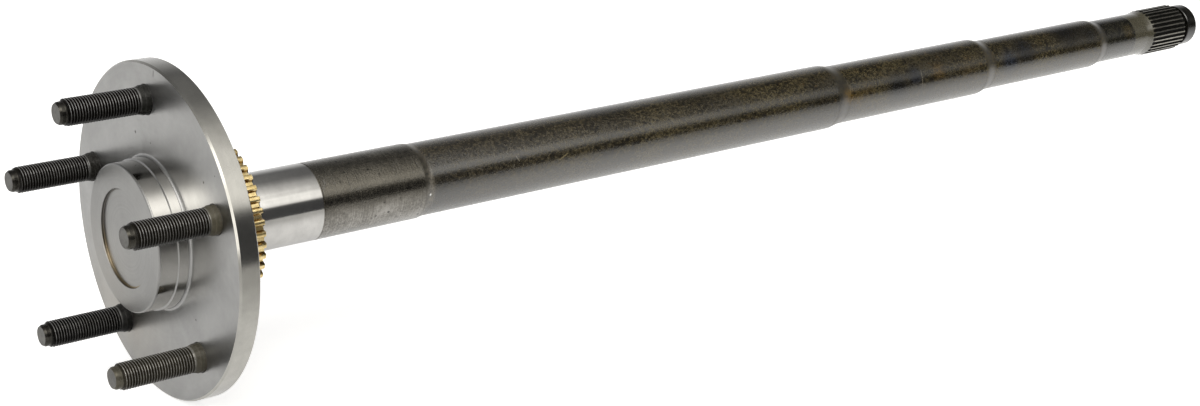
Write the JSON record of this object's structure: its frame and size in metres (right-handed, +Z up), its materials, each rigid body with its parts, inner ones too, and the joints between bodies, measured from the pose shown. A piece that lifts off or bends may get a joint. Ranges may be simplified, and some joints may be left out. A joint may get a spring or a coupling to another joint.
{
  "type": "axle shaft",
  "caption": "Semi-floating rear axle shaft with a round wheel flange, pressed wheel studs, a toothed sensor ring, a ground bearing journal, a stepped shaft and a splined button end.",
  "frame": {"origin": "centre of the wheel face, where the shaft's axis crosses the plane that the brake rotor and wheel lie on", "axes": "+Y along the shaft from the wheel face to the splined end, -Y out of the wheel face along the studs, +Z up through the first stud"},
  "size_m": [0.1776, 0.8922, 0.1778],
  "materials": {
    "axle_steel": "turned and ground bright at flange and journal, dark forged and hardened scale along the shaft",
    "stud_black": "black oxide",
    "ring_zinc": "yellow zinc plating"
  },
  "bodies": {
    "root": {"axle_shaft": "axle_steel", "tone_ring": "ring_zinc", "wheel_stud_1": "stud_black", "wheel_stud_2": "stud_black", "wheel_stud_3": "stud_black", "wheel_stud_4": "stud_black", "wheel_stud_5": "stud_black"}
  },
  "joints": []
}
